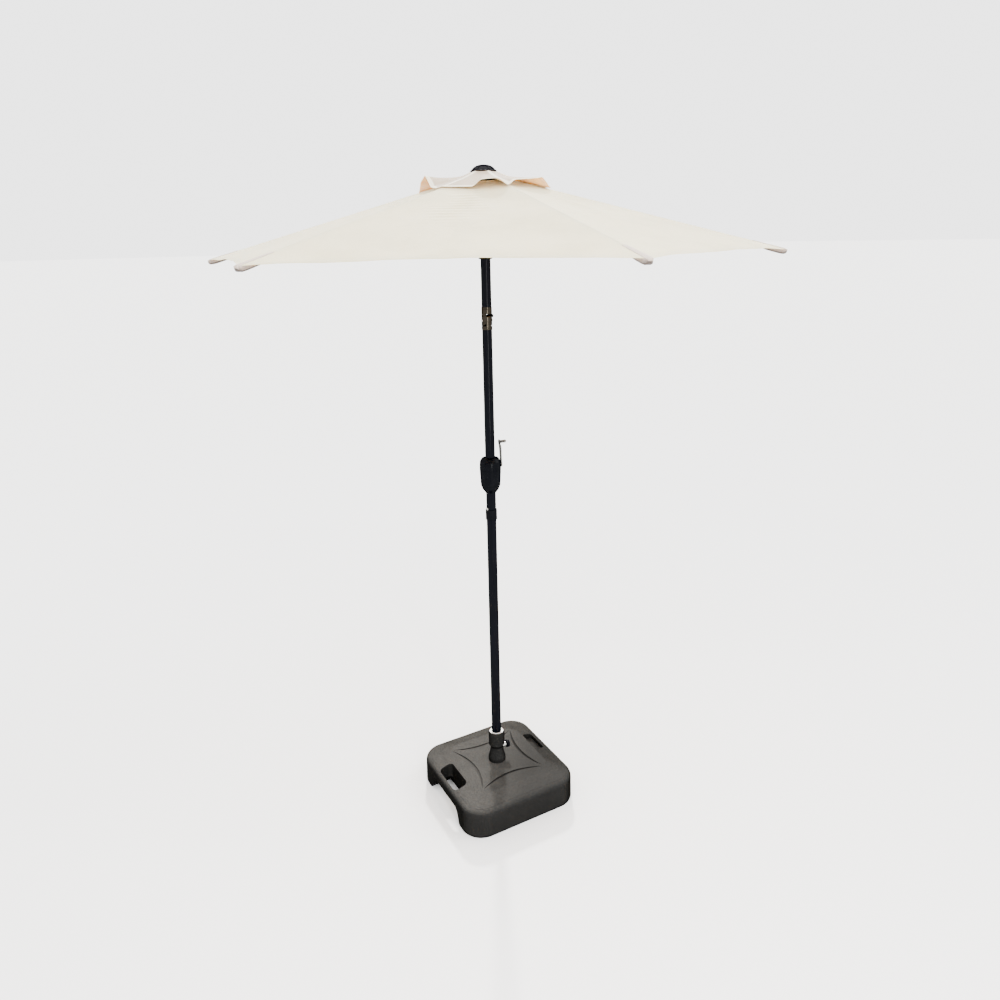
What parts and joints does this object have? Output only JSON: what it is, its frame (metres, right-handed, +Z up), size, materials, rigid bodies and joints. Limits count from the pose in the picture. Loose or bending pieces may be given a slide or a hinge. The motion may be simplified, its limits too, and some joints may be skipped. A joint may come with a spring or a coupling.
{
  "type": "patio umbrella with base",
  "caption": "Tilting, crank-lifted hexagonal patio umbrella with a vented canopy, standing in a square fillable plastic base.",
  "frame": {"origin": "centre of the base's underside, on the pole's axis", "axes": "+Z up along the pole; the tank's sides lie along X and Y, its clamp knob points to +X"},
  "size_m": [1.9924, 2.1752, 2.508],
  "materials": {
    "tank_plastic": "matte",
    "black_plastic": "satin",
    "finial_gloss": "gloss",
    "sleeve_plastic": "satin",
    "pole_paint": "satin",
    "tilt_metal": "satin",
    "zinc_steel": "satin",
    "cord": "matte",
    "canopy_cloth": "matte"
  },
  "bodies": {
    "base": {"base_tank": "tank_plastic", "socket_tube": "tank_plastic", "stem_cone": "tank_plastic", "stem_collar": "tank_plastic", "clamp_bushing": "zinc_steel"},
    "fill_cap": {"fill_cap": "black_plastic"},
    "clamp_pad": {"pressure_pad": "zinc_steel"},
    "clamp_knob": {"clamp_screw": "zinc_steel", "clamp_knob": "black_plastic"},
    "sleeve": {"reducer_sleeve": "sleeve_plastic"},
    "mast": {"foot_plug": "black_plastic", "lower_pole": "pole_paint", "upper_pole": "pole_paint", "pole_collar": "black_plastic", "snap_spring": "zinc_steel", "crank_shell_front": "black_plastic", "crank_shell_back": "black_plastic", "housing_screws": "zinc_steel", "tilt_socket": "tilt_metal", "tilt_rivets": "zinc_steel", "lift_cord_lower": "cord"},
    "snap_button": {"snap_button": "zinc_steel"},
    "crank": {"cord_spool": "black_plastic", "crank_shaft": "zinc_steel", "crank_lever": "black_plastic", "grip_pin": "zinc_steel"},
    "crank_grip": {"crank_grip": "black_plastic"},
    "head": {"tilt_head": "tilt_metal", "button_spring": "zinc_steel", "top_pole": "pole_paint", "crown_hub": "black_plastic", "crown_pins": "zinc_steel", "cord_pulley": "sleeve_plastic", "pulley_pin": "zinc_steel", "top_plug": "black_plastic", "finial": "finial_gloss", "lift_cord_upper": "cord"},
    "tilt_button": {"tilt_button": "black_plastic"},
    "rib_1": {"rib_1": "pole_paint", "canopy_gore_1": "canopy_cloth"},
    "strut_1": {"strut_1": "pole_paint"},
    "rib_2": {"rib_2": "pole_paint", "canopy_gore_2": "canopy_cloth"},
    "strut_2": {"strut_2": "pole_paint"},
    "rib_3": {"rib_3": "pole_paint", "canopy_gore_3": "canopy_cloth"},
    "strut_3": {"strut_3": "pole_paint"},
    "rib_4": {"rib_4": "pole_paint", "canopy_gore_4": "canopy_cloth"},
    "strut_4": {"strut_4": "pole_paint"},
    "rib_5": {"rib_5": "pole_paint", "canopy_gore_5": "canopy_cloth"},
    "strut_5": {"strut_5": "pole_paint"},
    "rib_6": {"rib_6": "pole_paint", "canopy_gore_6": "canopy_cloth"},
    "strut_6": {"strut_6": "pole_paint"},
    "runner": {"runner": "black_plastic", "runner_pins": "zinc_steel"}
  },
  "joints": [
    {"name": "cap_pull", "type": "slide", "parent": "base", "child": "fill_cap", "axis": [0, 0, 1], "range_m": [0, 0.04]},
    {"name": "pad_advance", "type": "slide", "parent": "base", "child": "clamp_pad", "axis": [1, 0, 0], "range_m": [0, 0.003]},
    {"name": "clamp_turn", "type": "hinge", "parent": "clamp_pad", "child": "clamp_knob", "pos_m": [0.05, 0, 0.172], "axis": [1, 0, 0], "range_deg": [0, 720]},
    {"name": "mast_swivel", "type": "hinge", "parent": "base", "child": "sleeve", "pos_m": [0, 0, 0.24], "axis": [0, 0, 1], "continuous": true},
    {"name": "mast_lift", "type": "slide", "parent": "sleeve", "child": "mast", "axis": [0, 0, 1], "range_m": [0, 0.23]},
    {"name": "snap_press", "type": "slide", "parent": "mast", "child": "snap_button", "axis": [0.969, 0.247, 0], "range_m": [0, 0.0045], "stiffness_N_per_m": 600, "springref_m": -0.002, "deforming": ["snap_spring"]},
    {"name": "crank_turn", "type": "hinge", "parent": "mast", "child": "crank", "pos_m": [0, 0, 1.36], "axis": [0.9951, -0.0993, 0], "range_deg": [-4500, 0]},
    {"name": "grip_spin", "type": "hinge", "parent": "crank", "child": "crank_grip", "pos_m": [0.04776, -0.00477, 1.45], "axis": [0.9951, -0.0993, 0], "continuous": true},
    {"name": "tilt", "type": "hinge", "parent": "mast", "child": "head", "pos_m": [0, 0, 1.928], "axis": [0.9951, -0.0993, 0], "range_deg": [0, 30]},
    {"name": "tilt_press", "type": "slide", "parent": "head", "child": "tilt_button", "axis": [-0.9951, 0.0993, 0], "range_m": [0, 0.0038], "stiffness_N_per_m": 800, "springref_m": -0.002, "deforming": ["button_spring"]},
    {"name": "fold", "type": "hinge", "parent": "head", "child": "rib_1", "pos_m": [0.02734, 0.01235, 2.46], "axis": [0.4115, -0.9114, 0], "range_deg": [-68.5, 0], "deforming": ["canopy_gore_1"]},
    {"name": "strut_hinge_1", "type": "hinge", "parent": "rib_1", "child": "strut_1", "pos_m": [0.42744, 0.193, 2.32165], "axis": [0.4115, -0.9114, 0], "range_deg": [0, 137]},
    {"name": "fold_2", "type": "hinge", "parent": "head", "child": "rib_2", "pos_m": [0.00298, 0.02985, 2.46], "axis": [0.9951, -0.0993, 0], "range_deg": [-68.5, 0], "deforming": ["canopy_gore_2"]},
    {"name": "strut_hinge_2", "type": "hinge", "parent": "rib_2", "child": "strut_2", "pos_m": [0.04658, 0.46668, 2.32165], "axis": [0.9951, -0.0993, 0], "range_deg": [0, 137]},
    {"name": "fold_3", "type": "hinge", "parent": "head", "child": "rib_3", "pos_m": [-0.02436, 0.01751, 2.46], "axis": [0.5835, 0.8121, 0], "range_deg": [-68.5, 0], "deforming": ["canopy_gore_3"]},
    {"name": "strut_hinge_3", "type": "hinge", "parent": "rib_3", "child": "strut_3", "pos_m": [-0.38086, 0.27368, 2.32165], "axis": [0.5835, 0.8121, 0], "range_deg": [0, 137]},
    {"name": "fold_4", "type": "hinge", "parent": "head", "child": "rib_4", "pos_m": [-0.02734, -0.01235, 2.46], "axis": [-0.4115, 0.9114, 0], "range_deg": [-68.5, 0], "deforming": ["canopy_gore_4"]},
    {"name": "strut_hinge_4", "type": "hinge", "parent": "rib_4", "child": "strut_4", "pos_m": [-0.42744, -0.193, 2.32165], "axis": [-0.4115, 0.9114, 0], "range_deg": [0, 137]},
    {"name": "fold_5", "type": "hinge", "parent": "head", "child": "rib_5", "pos_m": [-0.00298, -0.02985, 2.46], "axis": [-0.9951, 0.0993, 0], "range_deg": [-68.5, 0], "deforming": ["canopy_gore_5"]},
    {"name": "strut_hinge_5", "type": "hinge", "parent": "rib_5", "child": "strut_5", "pos_m": [-0.04658, -0.46668, 2.32165], "axis": [-0.9951, 0.0993, 0], "range_deg": [0, 137]},
    {"name": "fold_6", "type": "hinge", "parent": "head", "child": "rib_6", "pos_m": [0.02436, -0.01751, 2.46], "axis": [-0.5835, -0.8121, 0], "range_deg": [-68.5, 0], "deforming": ["canopy_gore_6"]},
    {"name": "strut_hinge_6", "type": "hinge", "parent": "rib_6", "child": "strut_6", "pos_m": [0.38086, -0.27368, 2.32165], "axis": [-0.5835, -0.8121, 0], "range_deg": [0, 137]},
    {"name": "runner_hinge", "type": "hinge", "parent": "strut_1", "child": "runner", "pos_m": [0.02734, 0.01235, 2.1833], "axis": [0.4115, -0.9114, 0], "range_deg": [-68.5, 0]}
  ],
  "couplings": [
    {"joint": "clamp_turn", "follows": "pad_advance", "rad_per_m": 4188.8},
    {"joint": "strut_hinge_1", "follows": "fold", "ratio": -2},
    {"joint": "fold_2", "follows": "fold", "ratio": 1},
    {"joint": "strut_hinge_2", "follows": "fold", "ratio": -2},
    {"joint": "fold_3", "follows": "fold", "ratio": 1},
    {"joint": "strut_hinge_3", "follows": "fold", "ratio": -2},
    {"joint": "fold_4", "follows": "fold", "ratio": 1},
    {"joint": "strut_hinge_4", "follows": "fold", "ratio": -2},
    {"joint": "fold_5", "follows": "fold", "ratio": 1},
    {"joint": "strut_hinge_5", "follows": "fold", "ratio": -2},
    {"joint": "fold_6", "follows": "fold", "ratio": 1},
    {"joint": "strut_hinge_6", "follows": "fold", "ratio": -2},
    {"joint": "runner_hinge", "follows": "fold", "ratio": 1},
    {"joint": "crank_turn", "follows": "fold", "ratio": 65.693}
  ]
}
